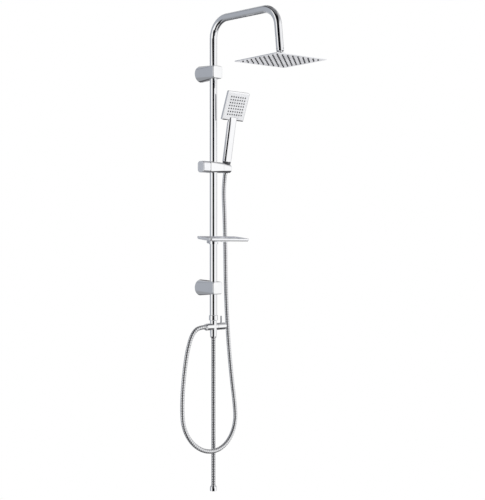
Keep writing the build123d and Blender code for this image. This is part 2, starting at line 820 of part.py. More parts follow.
clamp_top = -dish_drop - dish_height - clamp_gap
clamp_mid = clamp_top - clamp_height / 2
clamp_r = tube_r + fit + clamp_wall
back_plane = Plane(origin=(0, -standoff, clamp_mid), x_dir=(1, 0, 0), z_dir=(0, 1, 0))
with BuildPart() as dish_clamp:
    tube(upright, clamp_r, tube_r + fit, clamp_top - clamp_height, clamp_top)
    with BuildSketch(dish_top.offset(-dish_height)) as tongue:
        with Locations((0, -(tongue_length - dish_round) / 2 - dish_round)):
            Rectangle(tongue_width, tongue_length - dish_round)
    extrude(tongue.sketch, amount=-tongue_t)
    with BuildSketch(Plane.XY.offset(clamp_top - web_drop)) as web:
        with Locations((0, -standoff - clamp_r)):
            Rectangle(web_width, clamp_r)
    extrude(web.sketch, amount=web_drop - clamp_height / 2)
    with BuildSketch(back_plane.offset(tube_r)) as thumb_seat:
        Circle(thumb_d)
    extrude(thumb_seat.sketch, amount=clamp_r - tube_r + thumb_boss)
    with BuildSketch(Plane.XY.offset(clamp_top)) as riser_way:
        with Locations((0, -standoff)):
            Circle(tube_r + fit)
    extrude(riser_way.sketch, amount=-clamp_height, mode=Mode.SUBTRACT)
    drill(back_plane, thumb_d + 2 * fit, clamp_r + thumb_boss)
    with BuildSketch(dish_top.offset(-dish_height - tongue_t)) as screw_ways:
        with Locations((0, -tongue_length / 2)):
            with GridLocations(dish_screw_pitch, 0, 2, 1):
                Circle(dish_screw_d / 2 + fit)
    extrude(screw_ways.sketch, amount=tongue_t, mode=Mode.SUBTRACT)
keep(dish_clamp, "dish_clamp")

with BuildPart() as dish_screws:
    with BuildSketch(dish_top.offset(-dish_height - tongue_t)):
        with Locations((0, -tongue_length / 2)):
            with GridLocations(dish_screw_pitch, 0, 2, 1):
                Circle(dish_screw_d / 2)
    extrude(amount=tongue_t + dish_screw_bite)
keep(dish_screws, "dish_screws")

with BuildPart() as dish_thumbscrew:
    with BuildSketch(back_plane.offset(tube_r + seat)):
        Circle(thumb_d / 2)
    extrude(amount=clamp_r + thumb_boss - tube_r - seat)
    with BuildSketch(back_plane.offset(clamp_r + thumb_boss)):
        Circle(thumb_head_d / 2)
    extrude(amount=thumb_head_t)
keep(dish_thumbscrew, "dish_thumbscrew")

# Union nut and seal between the riser's foot and the diverter.
union_in = tube_collar_r + fit
union_r = union_in + union_wall
union_top = union_above - riser_length
union_bottom = -riser_length - union_below
spigot_r = union_in - fit
spigot_top = -riser_length - spigot_seal_t
with BuildPart() as riser_union_nut:
    turn(
        upright,
        (union_in, union_bottom),
        (union_r - union_chamfer, union_bottom),
        (union_r, union_bottom + union_chamfer),
        (union_r, union_top - union_chamfer),
        (union_r - union_chamfer, union_top),
        (tube_r + fit, union_top),
        (tube_r + fit, tube_collar_h - riser_length),
        (union_in, tube_collar_h - riser_length),
    )
keep(riser_union_nut, "riser_union_nut")

with BuildPart() as riser_seal:
    tube(upright, tube_collar_r, diverter_bore / 2, spigot_top, -riser_length)
keep(riser_seal, "riser_seal")

# Diverter: an upright body with a spigot and a foot thread, an outlet at the left, a cartridge at the right.
stub_r = thread_r - fit
foot = diverter_z - diverter_leg
cross = along((0, -standoff, diverter_z), (1, 0, 0), (0, 0, 1))
with BuildPart() as diverter_body:
    turn(
        upright,
        (0, foot - foot_stub_length),
        (stub_r, foot - foot_stub_length),
        (stub_r, foot),
        (diverter_d / 2, foot),
        (diverter_d / 2, union_bottom),
        (spigot_r, union_bottom),
        (spigot_r, spigot_top),
        (0, spigot_top),
    )
    turn(
        cross,
        (0, -outlet_end - stub_length),
        (stub_r, -outlet_end - stub_length),
        (stub_r, -outlet_end),
        (outlet_d / 2, -outlet_end),
        (outlet_d / 2, cartridge_face),
        (0, cartridge_face),
    )
    water_way = spigot_top - foot + foot_stub_length
    drill(Plane(origin=(0, -standoff, spigot_top), z_dir=(0, 0, -1)), diverter_bore, water_way)
    drill(across_x(-outlet_end - stub_length, diverter_z), washer_bore, outlet_end + stub_length)
    drill(across_x(cartridge_face - cartridge_in, diverter_z), cartridge_d + 2 * fit, cartridge_in)
keep(diverter_body, "diverter_body")

with BuildPart() as diverter_cartridge:
    turn(
        cross,
        (spindle_d / 2 + fit, spindle_from - swing),
        (spindle_d / 2 + fit, cartridge_face + cartridge_out),
        (cartridge_d / 2, cartridge_face + cartridge_out),
        (cartridge_d / 2, cartridge_face - cartridge_in),
        (0, cartridge_face - cartridge_in),
        (0, spindle_from - swing),
    )
keep(diverter_cartridge, "diverter_cartridge")

with BuildPart() as diverter_spindle:
    with BuildSketch(across_x(spindle_from, diverter_z)):
        Circle(spindle_d / 2)
    extrude(amount=spindle_to - spindle_from)
keep(diverter_spindle, "diverter_spindle")

lever_cavity_r = cartridge_d / 2 + lever_cavity_gap
lever_r = lever_cavity_r + lever_wall
with BuildPart() as diverter_handle:
    turn(
        cross,
        (lever_cavity_r, cartridge_face + swing),
        (lever_r, cartridge_face + swing),
        (lever_r, lever_handle_end),
        (0, lever_handle_end),
        (0, spindle_to),
        (spindle_d / 2 + fit, spindle_to),
        (spindle_d / 2 + fit, lever_hub_from),
        (lever_cavity_r, lever_hub_from),
    )
    fillet(diverter_handle.faces().sort_by(Axis.X)[-1].edges(), lever_edge)
    drill(
        Plane(origin=(lever_pin_at, -standoff, diverter_z), z_dir=(0, 0, 1)),
        lever_pin_d + 2 * fit,
        2 * lever_r,
    )
keep(diverter_handle, "diverter_handle")

pin_r = lever_pin_d / 2
pin_foot = spindle_d / 2
pin_top = lever_r + lever_pin_rise
pin_axis = along((lever_pin_at, -standoff, diverter_z), (0, 0, 1), (1, 0, 0))
with BuildPart() as lever_pin:
    turn(
        pin_axis,
        (0, pin_foot),
        (pin_r, pin_foot),
        (pin_r, pin_top - lever_pin_tip),
        (pin_r - lever_pin_tip, pin_top),
        (0, pin_top),
    )
keep(lever_pin, "lever_pin")


# Hose nuts: each has a floor that the hose meets, a washer and a threaded mouth.
def hose_nut(plane, mouth, end, step, wall):
    """Turn a hose nut: threaded mouth with a wall, floor and taper to a small end one step over the hose."""
    way = math.copysign(1, mouth - end)
    mouth_r = thread_r + fit + wall
    turn(
        plane,
        (hose_bore / 2, end),
        (hose_d / 2 + step, end),
        (mouth_r, end + way * nut_taper),
        (mouth_r, mouth),
        (thread_r + fit, mouth),
        (thread_r + fit, end + way * nut_floor),
        (hose_bore / 2, end + way * nut_floor),
    )


outlet_nut_end = -outlet_end - outlet_nut_length
with BuildPart() as outlet_nut:
    hose_nut(cross, -outlet_end, outlet_nut_end, outlet_nut_step, nut_wall)
keep(outlet_nut, "outlet_nut")

with BuildPart() as outlet_washer:
    tube(cross, stub_r, washer_bore / 2, outlet_nut_end + nut_floor, -outlet_end - stub_length)
keep(outlet_washer, "outlet_washer")

supply_top = foot - supply_nut_length
with BuildPart() as supply_top_nut:
    hose_nut(upright, foot, supply_top, supply_nut_step, supply_nut_wall)
keep(supply_top_nut, "supply_top_nut")

with BuildPart() as supply_washer:
    tube(upright, stub_r, washer_bore / 2, supply_top + nut_floor, foot - foot_stub_length)
keep(supply_washer, "supply_washer")

supply_foot = supply_top - supply_length
end_floor = supply_foot - nut_floor
pocket_r = thread_r + fit + washer_pocket_lip
with BuildPart() as supply_end_nut:
    hose_nut(upright, supply_foot - supply_end_length, supply_foot, supply_end_step, supply_end_wall)
    tube(upright, pocket_r, 0, end_floor - washer_t, end_floor, mode=Mode.SUBTRACT)
keep(supply_end_nut, "supply_end_nut")

with BuildPart() as supply_end_washer:
    tube(upright, pocket_r - fit, washer_bore / 2, end_floor - washer_t, end_floor)
keep(supply_end_washer, "supply_end_washer")


# Ribbed hoses: rings on a bored tube, lofted through four circles a rib along the route.
def ribbed_hose(path, ribs, steady):
    """Loft a hose of so many ribs along a path, square and plain for one diameter at each end."""
    length = path.length
    pitch = (length - 2 * hose_d) / ribs
    outer_r = hose_d / 2
    stations = [(0.0, outer_r)]
    for rib in range(ribs):
        start = hose_d + rib * pitch
        stations += [(start + share * pitch, outer_r - depth * rib_depth) for share, depth in rib_outline]
    stations.append((length, outer_r))
    rings = []
    bores = []
    for distance, radius in stations:
        share = distance / length
        ring_plane = Plane(origin=path.position_at(share), x_dir=steady, z_dir=path.tangent_at(share))
        with BuildSketch(ring_plane) as ring:
            Circle(radius)
        with BuildSketch(ring_plane) as hole:
            Circle(hose_bore / 2)
        rings.append(ring.sketch)
        bores.append(hole.sketch)
    loft(rings, ruled=True)
    loft(bores[::2] + bores[-1:], ruled=True, mode=Mode.SUBTRACT)


ferrule_foot = cradle_at - lean_up * ferrule_bottom
route = [Vector(outlet_nut_end, -standoff, diverter_z)]
route += [Vector(x, y - standoff, diverter_z + z) for x, y, z in loop_points]
route += [Vector(x, y - standoff, slider_z + z) for x, y, z in leg_points]
route += [ferrule_foot - lean_up * hose_end_run, ferrule_foot]
radii = []
for before, here, after in zip(route, route[1:], route[2:]):
    half_turn = math.radians((here - before).get_angle(after - here)) / 2
    shorter = min((here - before).length, (after - here).length)
    radii.append(arc_share * shorter / math.tan(half_turn))
print("handset hose radii", [round(radius) for radius in radii])

with BuildPart() as handset_hose:
    with BuildLine() as hose_line:
        FilletPolyline(*route, radius=radii)
    ribbed_hose(hose_line.wire(), hose_ribs, (0, 1, 0))
keep(handset_hose, "handset_hose")

with BuildPart() as supply_hose:
    with BuildLine() as supply_line:
        Line((0, -standoff, supply_top), (0, -standoff, supply_foot))
    ribbed_hose(supply_line.wire(), supply_ribs, (1, 0, 0))
keep(supply_hose, "supply_hose")

section = math.pi / 4 * (hose_d**2 - hose_bore**2)
for name, builder, line in (
    ("handset hose", handset_hose, hose_line),
    ("supply hose", supply_hose, supply_line),
):
    length = line.wire().length
    plain = section * length
    print(f"{name}: length {length:.1f}, volume {builder.part.volume:.0f}, plain tube {plain:.0f}")
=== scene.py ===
# %% [markdown]
# A chrome shower column hangs on a wall: a riser tube, a gooseneck arm with a square rain head,
# a slider with a handset, a soap dish, a diverter and two metal hoses. The rigid pieces come from
# the CAD model. This lesson gives them their finishes, rebuilds the hoses and the spray nozzles
# with finer shapes, and sets up the studio. Everything is in metres, in the CAD model's frame.

import json
import math

import bpy
import numpy as np
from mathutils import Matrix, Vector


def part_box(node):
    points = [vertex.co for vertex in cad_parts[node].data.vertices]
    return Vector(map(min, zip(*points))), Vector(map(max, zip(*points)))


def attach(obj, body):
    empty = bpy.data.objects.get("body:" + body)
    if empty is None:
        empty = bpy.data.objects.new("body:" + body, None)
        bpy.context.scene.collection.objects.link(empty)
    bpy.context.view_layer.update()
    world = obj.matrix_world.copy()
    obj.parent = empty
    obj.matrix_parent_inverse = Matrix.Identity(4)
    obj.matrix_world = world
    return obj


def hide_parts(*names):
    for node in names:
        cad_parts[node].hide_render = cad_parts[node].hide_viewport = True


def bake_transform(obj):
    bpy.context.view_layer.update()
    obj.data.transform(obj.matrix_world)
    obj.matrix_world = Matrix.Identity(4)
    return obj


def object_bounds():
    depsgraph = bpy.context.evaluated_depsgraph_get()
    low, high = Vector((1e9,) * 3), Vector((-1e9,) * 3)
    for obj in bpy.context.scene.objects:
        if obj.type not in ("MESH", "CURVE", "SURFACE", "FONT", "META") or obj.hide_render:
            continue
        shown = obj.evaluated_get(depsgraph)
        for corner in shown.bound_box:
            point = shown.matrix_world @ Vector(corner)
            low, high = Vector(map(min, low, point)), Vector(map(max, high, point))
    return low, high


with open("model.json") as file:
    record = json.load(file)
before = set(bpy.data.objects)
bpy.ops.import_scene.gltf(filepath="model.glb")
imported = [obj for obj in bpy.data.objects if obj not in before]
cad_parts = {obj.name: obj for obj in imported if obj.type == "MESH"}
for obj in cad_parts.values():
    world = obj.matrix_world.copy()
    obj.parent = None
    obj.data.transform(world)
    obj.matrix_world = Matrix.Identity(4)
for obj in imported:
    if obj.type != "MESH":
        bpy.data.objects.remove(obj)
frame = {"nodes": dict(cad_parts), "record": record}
cad_low, cad_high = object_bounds()
nodes = frame["nodes"]
scene = bpy.context.scene
print(len(nodes), "pieces from the CAD model, from", tuple(cad_low), "to", tuple(cad_high))

# %% [markdown]
# Shader maths reads best as arithmetic. Nodes could be placed one by one, but then the formula is
# hard to see. So a socket is wrapped in a small class whose operators add Math nodes, and one method
# makes every other kind of node from its type, its settings and its inputs. The class has only the
# operators that this lesson needs.


# %% A socket that does arithmetic
class Wire:
    """An output socket. Arithmetic on wires and numbers adds Math nodes to the same tree."""

    def __init__(self, socket):
        self.socket = socket

    @staticmethod
    def add(tree, kind, settings=None, inputs=None, output=0):
        """Make a node of a type, apply its settings, then set or link its inputs; return one output."""
        made = tree.nodes.new(kind)
        for name, value in (settings or {}).items():
            setattr(made, name, value)
        for name, value in (inputs or {}).items():
            if isinstance(value, Wire):
                tree.links.new(value.socket, made.inputs[name])
            else:
                made.inputs[name].default_value = value
        return Wire(made.outputs[output]) if len(made.outputs) else made

    def maths(self, operation, first, second):
        """A Math node of an operation on two wires or numbers."""
        tree = self.socket.id_data
        return Wire.add(tree, "ShaderNodeMath", {"operation": operation}, {0: first, 1: second})

    def __add__(self, other):
        return self.maths("ADD", self, other)

    def __radd__(self, other):
        return self.maths("ADD", other, self)

    def __rsub__(self, other):
        return self.maths("SUBTRACT", other, self)

    def __mul__(self, other):
        return self.maths("MULTIPLY", self, other)

    def __truediv__(self, other):
        return self.maths("DIVIDE", self, other)

    def step(self, low, high):
        """0 below low and 1 above high, smooth between: t * t * (3 - 2 * t)."""
        settings = {"interpolation_type": "SMOOTHSTEP"}
        inputs = {0: self, 1: low, 2: high}
        return Wire.add(self.socket.id_data, "ShaderNodeMapRange", settings, inputs)


def mix_colours(tree, share, first, second):
    """first where share is 0, second where it is 1."""
    inputs = {0: share, 6: first, 7: second}
    return Wire.add(tree, "ShaderNodeMix", {"data_type": "RGBA"}, inputs, output=2)


print("sockets can now be added, taken from a number, multiplied, divided and stepped")

# %% [markdown]
# Polished plating is a mirror with a faint cloudiness: soap film and wiping leave patches that are
# a little duller. A picture of such patches could be wrapped round each piece, but a soft noise on
# Object coordinates needs no unwrapping and stays on the piece when it moves. So each finish is one
# Principled shader whose roughness and tone follow that noise. The strip of a hose is also painted
# darker in its grooves, with painted shade mixed with dirt, and the hose's mesh marks the grooves
# with an attribute.

# %% A finish with clouded roughness
cloud_from = 0.42
cloud_full = 0.68
cloud_detail = 3.0
# The colour of the painted shade and dirt in the grooves of the hose strips.
groove_shade_and_dirt_black = (0.02, 0.02, 0.022, 1.0)


def finish(name, colour, metal, roughness, cloud, scale, tone=0.03, groove_shade_and_dirt=0.0):
    """Roughness = roughness + cloud * noise. Noise darkens by tone, and the last argument darkens a
    hose's grooves with painted shade and dirt.
    """
    made = bpy.data.materials.new(name)
    made.use_nodes = True
    tree = made.node_tree
    shader = tree.nodes["Principled BSDF"]
    place = Wire.add(tree, "ShaderNodeTexCoord", output="Object")
    inputs = {"Vector": place, "Scale": scale, "Detail": cloud_detail}
    film = Wire.add(tree, "ShaderNodeTexNoise", {}, inputs).step(cloud_from, cloud_full)
    rough = roughness + film * cloud
    dull = [c * (1 - tone) for c in colour]
    shade = mix_colours(tree, film, (*colour, 1.0), (*dull, 1.0))
    # Painted shade and dirt: the grooves of a hose strip are darkened towards black.
    if groove_shade_and_dirt:
        groove_shade_and_dirt_mask = Wire.add(tree, "ShaderNodeAttribute", {"attribute_name": "groove_shade_and_dirt"}, output="Fac")
        shade = mix_colours(tree, groove_shade_and_dirt_mask * groove_shade_and_dirt, shade, groove_shade_and_dirt_black)
    tree.links.new(rough.socket, shader.inputs["Roughness"])
    tree.links.new(shade.socket, shader.inputs["Base Color"])
    shader.inputs["Metallic"].default_value = metal
    made.diffuse_color = (*colour, 1.0)
    return made


print("clouds start at a noise of", cloud_from, "and are full at", cloud_full)

# %% [markdown]
# Most of the column is chrome, on brass or on plastic, and the rain head is polished steel. The hose
# strips are rougher than the tubes, and the supply hose is the darker of the two. The nozzles are
# silicone, and most of the hidden pieces are brass, plain steel, rubber or acetal. The record names
# each piece's slot, so one loop dresses them all. Three pieces have a finish of their own: the cone
# nut is painted dark, as painted shade of the gap where it sits in the cradle, and the knob and the
# soap dish are plated paler than the brackets.

# %% Dress the pieces
# Each finish gives its name, colour, metal share, roughness, cloud and the scale of the clouds.
chrome = finish("chrome plate", (0.93, 0.935, 0.945), 1.0, 0.020, 0.025, 9.0)
chromed_plastic = finish("chromed plastic", (0.93, 0.932, 0.945), 1.0, 0.030, 0.03, 12.0)
polished_steel = finish("polished steel", (0.90, 0.905, 0.925), 1.0, 0.16, 0.05, 14.0)
# The last number of the two hose strips says how strongly their grooves are painted with shade and dirt.
hose_metal = finish("hose strip", (0.84, 0.845, 0.855), 1.0, 0.277, 0.015, 60.0, groove_shade_and_dirt=0.5)
supply_metal = finish("supply strip", (0.70, 0.705, 0.715), 1.0, 0.277, 0.015, 60.0, groove_shade_and_dirt=0.7)
silver_plastic = finish("silver spray face", (0.93, 0.932, 0.945), 0.35, 0.22, 0.05, 20.0)
brass = finish("machined brass", (0.78, 0.60, 0.31), 1.0, 0.24, 0.08, 40.0)
steel = finish("plain steel", (0.62, 0.63, 0.65), 1.0, 0.30, 0.08, 40.0)
silicone = finish("grey silicone", (0.105, 0.107, 0.115), 0.0, 0.55, 0.10, 50.0, tone=0.15)
rubber = finish("black rubber", (0.03, 0.03, 0.032), 0.0, 0.60, 0.10, 50.0, tone=0.2)
# The cone nut's dark colour is painted shade of the gap where it sits in the cradle.
cone_nut_painted_shade = finish("cone nut painted shade", (0.11, 0.11, 0.12), 0.3, 0.30, 0.06, 40.0)
pale_chrome = finish("pale chrome", (0.94, 0.942, 0.962), 0.76, 0.05, 0.03, 20.0)
acetal = finish("white acetal", (0.83, 0.83, 0.81), 0.0, 0.40, 0.08, 30.0)
slot_finishes = {
    "chrome": chrome,
    "polished_steel": polished_steel,
    "chromed_plastic": chromed_plastic,
    "spray_face": silver_plastic,
    "hose_metal": hose_metal,
    "brass": brass,
    "steel": steel,
    "silicone": silicone,
    "rubber": rubber,
    "acetal": acetal,
}
own_finishes = {
    # The cone nut gets the painted shade of the cradle's gap.
    "hose_cone_nut": cone_nut_painted_shade,
    "slider_knob": pale_chrome,
    "soap_dish": pale_chrome,
}
for piece in frame["record"]["subparts"]:
    mesh = nodes[piece["node"]].data
    mesh.materials.clear()
    mesh.materials.append(own_finishes.get(piece["node"], slot_finishes[piece["material_slot"]]))
print(len(nodes), "pieces dressed from", len(slot_finishes), "slots,", len(own_finishes), "on their own")

# %% [markdown]
# The hoses are wound from a metal strip whose edges hook into each other, so from outside they are
# close rings with a narrow groove between them. The CAD model has plain tubes for them. The loop
# leaves the diverter at the left, turns below it and rises to the cradle at the right. Its route is
# given by the same points as in the CAD model, so the rings follow the CAD hose. The points count
# their depth from the riser.

# %% Hose routes
riser_y = -0.062
cradle_x = 0.056
cradle_z = -0.3105
cradle_lean = math.radians(10.5)
ferrule_drop = 0.020
end_run = 0.045
hose_up = np.array([0.0, -math.sin(cradle_lean), math.cos(cradle_lean)])
ferrule_low = np.array([cradle_x, riser_y, cradle_z]) - ferrule_drop * hose_up
loop_points = [
    (-0.0380, 0.000, -0.8320),
    (-0.0640, 0.000, -0.8320),
    (-0.0865, 0.000, -0.8455),
    (-0.1040, -0.001, -0.8740),
    (-0.1210, -0.003, -0.9250),
    (-0.1370, -0.006, -1.0150),
    (-0.1445, -0.010, -1.0900),
    (-0.1430, -0.015, -1.1490),
    (-0.1120, -0.022, -1.2020),
    (-0.0590, -0.027, -1.2330),
    (0.0030, -0.027, -1.2330),
    (0.0560, -0.022, -1.2020),
    (0.0870, -0.015, -1.1490),
    (0.0860, -0.010, -1.0850),
    (0.0765, -0.005, -1.0000),
    (0.0690, 0.000, -0.9000),
    (0.0625, 0.003, -0.7900),
    (0.0595, 0.005, -0.6800),
    (0.0605, 0.008, -0.5600),
    (0.0595, 0.0105, -0.4550),
]
handset_route = [(x, y + riser_y, z) for x, y, z in loop_points]
handset_route += [tuple(ferrule_low - end_run * hose_up), tuple(ferrule_low)]
supply_heights = (-0.869, -1.110, -1.354)
supply_route = [(0.0, riser_y, z) for z in supply_heights]
print("routes of", len(handset_route), "and", len(supply_route), "points")

# %% [markdown]
# A hose bends smoothly, so its centreline is a NURBS curve that those points pull on. The curve could
# be worked out by hand, but Blender has it already, and reading its points back is shorter. Points at
# equal distances along it then give every ring the same length.

# %% Centrelines
curve_order = 3
curve_steps = 32
handset_dots = 6000
supply_dots = 2000


def centreline(name, points):
    """Points along a NURBS curve on those control points, read back from Blender's own curve."""
    curve = bpy.data.curves.new(name, "CURVE")
    curve.dimensions = "3D"
    spline = curve.splines.new("NURBS")
    spline.points.add(len(points) - 1)
    spline.points.foreach_set("co", np.column_stack([points, np.ones(len(points))]).ravel())
    spline.order_u = curve_order
    spline.use_endpoint_u = True
    spline.resolution_u = curve_steps
    holder = bpy.data.objects.new(name, curve)
    line = bpy.data.meshes.new_from_object(holder)
    dots = np.empty(len(line.vertices) * 3)
    line.vertices.foreach_get("co", dots)
    bpy.data.objects.remove(holder)
    bpy.data.curves.remove(curve)
    bpy.data.meshes.remove(line)
    return dots.reshape(-1, 3)


def sample(at, known_at, values):
    """Rows of an array of three columns, read between its rows at other distances."""
    return np.stack([np.interp(at, known_at, values[:, k]) for k in range(3)], axis=1)


def even(dots, count):
    """count points at equal distances along a line, with their distances from its start."""
    gaps = np.linalg.norm(np.diff(dots, axis=0), axis=1)
    reach = np.concatenate([[0.0], np.cumsum(gaps)])
    at = np.linspace(0.0, reach[-1], count)
    return sample(at, reach, dots), at


handset_line, handset_at = even(centreline("handset line", handset_route), handset_dots)
supply_line, supply_at = even(centreline("supply line", supply_route), supply_dots)
handset_end = float(handset_at[-1])
supply_end = float(supply_at[-1])
print("handset hose", round(handset_end, 4), "m; supply hose", round(supply_end, 4), "m")

# %% [markdown]
# One ring is a rounded crest and a sharp groove. A ring could be modelled once and copied along the
# line, but then it would stay straight in the bends. Here its profile is a formula of the distance
# along the line, and turning that profile round the line gives the whole hose as one grid of points.

# %% Ringed hose surface
hose_diameter = 0.014
ring_pitch = 0.0081
groove_depth = 0.0013
groove_sharpness = 3
steps_per_ring = 8
hose_sides = 20
path_points = 200
steady = np.array([0.0, 1.0, 0.0])


def put_mesh(name, points, faces, material, smooth=True):
    """A mesh object with its place in its mesh."""
    mesh = bpy.data.meshes.new(name)
    mesh.from_pydata(points.tolist(), [], faces.tolist())
    mesh.polygons.foreach_set("use_smooth", np.full(len(mesh.polygons), smooth))
    mesh.materials.append(material)
    mesh.update()
    made = bpy.data.objects.new(name, mesh)
    scene.collection.objects.link(made)
    return made


def grid_faces(rows, columns):
    """Quads of a grid whose columns close on themselves."""
    row, column = np.meshgrid(np.arange(rows - 1), np.arange(columns), indexing="ij")
    near = row * columns + column
    next_column = row * columns + (column + 1) % columns
    quads = np.stack([near, next_column, next_column + columns, near + columns], axis=-1)
    return quads.reshape(-1, 4)


def ringed_hose(name, line, at, start, end, metal, groove_shade_and_dirt_spread):
    """Tube from start to end on a line: point = centre(s) + r(s) * (cos(a) * u + sin(a) * v).

    dip(s) = 1 - |sin(pi * s / pitch)| and r(s) = R - depth * dip ** sharpness. u is the normal of the
    line that lies nearest to the y axis, and v = tangent x u. The attribute that marks the grooves for
    painted shade and dirt is dip ** spread.
    """
    steps = int(round((end - start) / ring_pitch)) * steps_per_ring + 1
    s = np.linspace(start, end, steps)
    centre = sample(s, at, line)
    tangent = sample(s, at, np.gradient(line, at, axis=0))
    tangent /= np.linalg.norm(tangent, axis=1)[:, None]
    u = steady - (tangent @ steady)[:, None] * tangent
    u /= np.linalg.norm(u, axis=1)[:, None]
    v = np.cross(tangent, u)
    dip = 1 - np.abs(np.sin(np.pi * s / ring_pitch))
    radius = hose_diameter / 2 - groove_depth * dip**groove_sharpness
    angle = np.linspace(0, 2 * np.pi, hose_sides, endpoint=False)[None, :, None]
    ring = np.cos(angle) * u[:, None, :] + np.sin(angle) * v[:, None, :]
    points = centre[:, None, :] + radius[:, None, None] * ring
    made = put_mesh(name, points.reshape(-1, 3), grid_faces(steps, hose_sides), metal)
    # The attribute marks the grooves that get painted shade and dirt.
    groove_shade_and_dirt_mask = made.data.attributes.new("groove_shade_and_dirt", "FLOAT", "POINT")
    groove_shade_and_dirt_mask.data.foreach_set("value", np.repeat(dip**groove_shade_and_dirt_spread, hose_sides))
    path = centre[:: max(steps // path_points, 1)].tolist() + [centre[-1].tolist()]
    return made, path


print("rings of", ring_pitch, "m with", steps_per_ring, "steps each and", hose_sides, "sides")

# %% [markdown]
# The handset hose runs past the slider and the tilting cradle to the hose end that lifts out. The loop
# is cut into stretches: the longest one is attached to the column, and the other three, from the
# column to the slider, from the slider to the cradle and from the cradle to the hose end, are left
# where they lie.

# %% Handset hose
leg_low = -1.085
leg_high = -0.520
tilt_high = -0.430
# How narrow the painted shade and dirt in the loop's grooves is: the larger, the narrower.
loop_groove_shade_and_dirt_spread = 3.6


def height_on_right_leg(z):
    """Distance along the hose at which its last leg reaches a height."""
    lowest = handset_line[:, 2].argmin()
    return float(np.interp(z, handset_line[lowest:, 2], handset_at[lowest:]))


leg_start = height_on_right_leg(leg_low)
leg_end = height_on_right_leg(leg_high)
tilt_end = height_on_right_leg(tilt_high)
stretches = [
    ("handset_hose_loop", 0.0, leg_start, ("column",)),
    ("handset_hose_leg", leg_start, leg_end, ("column", "slider")),
    ("handset_hose_bend", leg_end, tilt_end, ("slider", "cradle")),
    ("handset_hose_end", tilt_end, handset_end, ("cradle", "hose_end")),
]
for name, start, end, carriers in stretches:
    hose, path = ringed_hose(name, handset_line, handset_at, start, end, hose_metal, loop_groove_shade_and_dirt_spread)
    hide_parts("handset_hose")
    if len(carriers) == 1:
        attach(hose, carriers[0])
    else:
        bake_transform(hose)
    print(name, round(end - start, 4), "m")

# %% [markdown]
# The supply hose hangs straight down from the diverter and ends in a nut. It stays with the column,
# so it is one stretch of the same rings, in the darker strip and with a wider band of painted shade
# and dirt in its grooves.

# %% Supply hose
# The supply hose's grooves get a wider band of painted shade and dirt.
supply_groove_shade_and_dirt_spread = 2.0
supply, supply_path = ringed_hose(
    "supply_hose_rings", supply_line, supply_at, 0.0, supply_end, supply_metal, supply_groove_shade_and_dirt_spread
)
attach(supply, "column")
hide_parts("supply_hose")
print("supply hose", round(supply_end, 4), "m")

# %% [markdown]
# Spray nozzles are small silicone nubs that stand out of the face, with a fine jet hole in the end.
# The CAD model has plain hexagons for them. Each nub could be a turned object of its own, but that
# makes many objects. Here one nub is a turned profile, and adding the places of a grid to it makes
# the whole field at once.

# %% Field of nozzles
nub_sides = 12
nub_width = np.array([1.0, 0.98, 0.80, 0.72, 0.40, 0.34])
nub_lift = np.array([0.0, 0.25, 0.90, 1.0, 1.0, 0.45])


def nozzle_field(name, centre, across_dir, up_dir, rows, pitches, radius, height):
    """Turned nubs on a grid: point = spot + radius * width(t) * ring(a) + height * lift(t) * out.

    spot = centre + i * pitch * across + j * pitch * up, ring(a) = cos(a) * across + sin(a) * up.
    """
    out_dir = np.cross(across_dir, up_dir)
    angle = np.linspace(0, 2 * np.pi, nub_sides, endpoint=False)
    ring = np.cos(angle)[:, None] * across_dir + np.sin(angle)[:, None] * up_dir
    nub = radius * nub_width[:, None, None] * ring[None] + height * nub_lift[:, None, None] * out_dir
    nub = nub.reshape(-1, 3)
    places = np.arange(rows) - (rows - 1) / 2
    first, second = np.meshgrid(places * pitches[0], places * pitches[1], indexing="ij")
    spots = centre + first.reshape(-1, 1) * across_dir + second.reshape(-1, 1) * up_dir
    points = (spots[:, None, :] + nub[None]).reshape(-1, 3)
    one = grid_faces(len(nub_width), nub_sides)
    faces = (one[None] + (np.arange(rows * rows) * len(nub))[:, None, None]).reshape(-1, 4)
    made = put_mesh(name, points, faces, silicone)
    print(name, rows * rows, "nozzles")
    return made


def face_box(node):
    """Low and high corner of a CAD piece."""
    low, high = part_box(node)
    return np.array(low), np.array(high)


print("one nub has", len(nub_width) * nub_sides, "points")

# %% [markdown]
# The rain head is turned a little about its ball joint and looks straight down. The handset's face
# leans with the handset. Both fields take their middle from the boxes of the CAD faces, so only the
# angles, counts and pitches are given here.

# %% Nozzles of the rain head and the handset
x_dir = np.array([1.0, 0.0, 0.0])
down_dir = np.array([0.0, 0.0, -1.0])
head_turn = math.radians(-5.5)
head_across = np.array([math.cos(head_turn), math.sin(head_turn), 0.0])
head_up = np.cross(down_dir, head_across)
face_low, face_high = face_box("rain_face")
rain_centre = (face_low + face_high) / 2
rain_centre[2] = face_low[2]
rain_field = nozzle_field(
    "rain_nozzle_field",
    rain_centre,
    head_across,
    head_up,
    rows=9,
    pitches=(0.0205, 0.0205),
    radius=0.0027,
    height=0.0024,
)
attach(rain_field, "rain_head")
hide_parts("rain_nozzles")

spray_lean = math.radians(20.0)
spray_out = 0.001
spray_rise = 0.0015
spray_up = np.array([0.0, -math.sin(spray_lean), math.cos(spray_lean)])
spray_front = np.cross(x_dir, spray_up)
face_low, face_high = face_box("handset_face")
spray_centre = (face_low + face_high) / 2 + spray_out * spray_front + spray_rise * spray_up
spray_field = nozzle_field(
    "handset_nozzle_field",
    spray_centre,
    x_dir,
    spray_up,
    rows=7,
    pitches=(0.0102, 0.0098),
    radius=0.0026,
    height=0.0013,
)
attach(spray_field, "handset")
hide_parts("handset_nozzles")

# %% [markdown]
# Bright metal is drawn by what it mirrors. Boards and lamps could stand round the column, but a world
# that is painted by direction has no edges that fall into the picture. Each part of this room is a
# sector of the compass: the azimuth is counted in degrees from the camera, positive to the right, and
# the height is the sine of the elevation.

